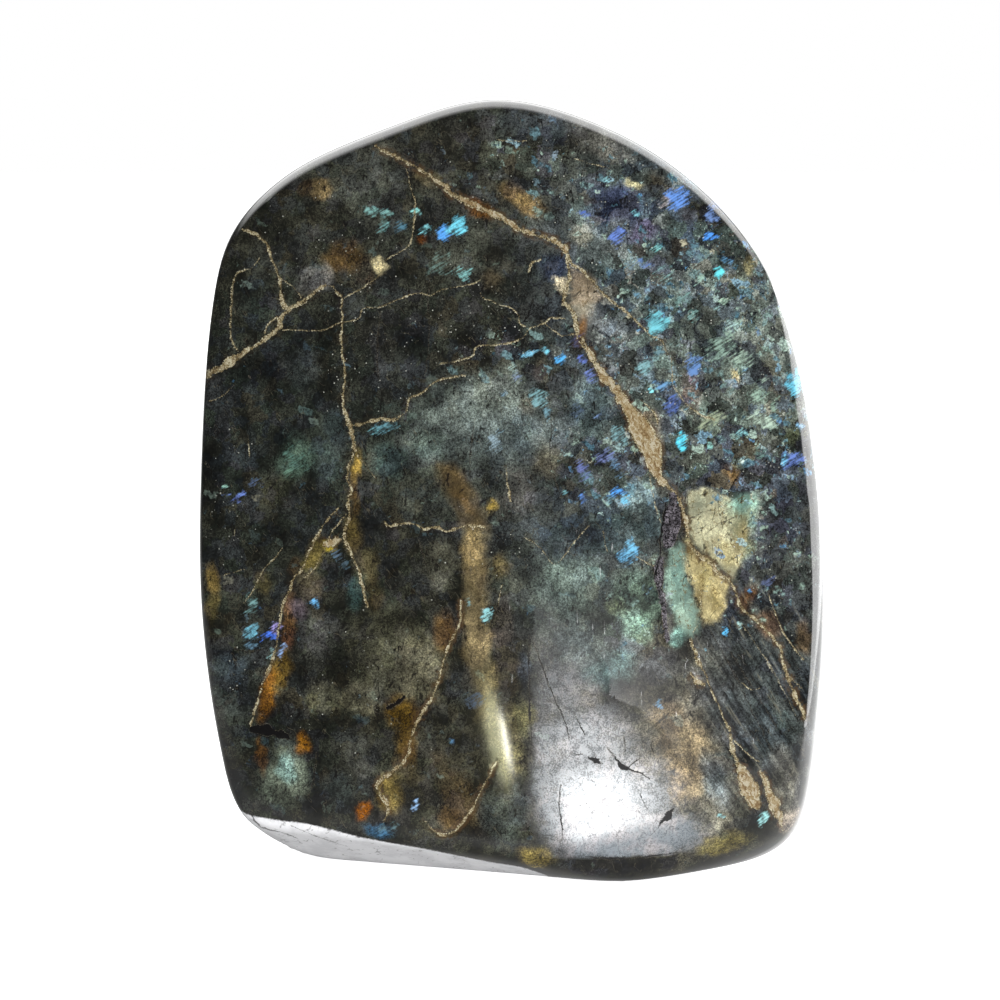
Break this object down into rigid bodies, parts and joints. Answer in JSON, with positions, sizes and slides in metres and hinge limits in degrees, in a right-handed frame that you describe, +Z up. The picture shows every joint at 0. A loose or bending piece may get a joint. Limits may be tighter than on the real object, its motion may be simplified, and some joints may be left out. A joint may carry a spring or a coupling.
{
  "type": "polished labradorite freeform",
  "caption": "Upright slab of dark labradorite ground to a domed outline and polished all round, standing on a flat cut base for display.",
  "frame": {"origin": "under the middle of the stone, on the plane it stands on", "axes": "+Z up, the stone's tallest way; the show face looks along -Y, the stone's thinnest way; +X to the right of someone facing it"},
  "size_m": [0.1204, 0.0602, 0.1468],
  "materials": {
    "labradorite": "polished dark feldspar with golden-brown veins and blue, teal and yellow-green flashes of labradorescence"
  },
  "bodies": {
    "root": {"labradorite_stone": "labradorite"}
  },
  "joints": []
}
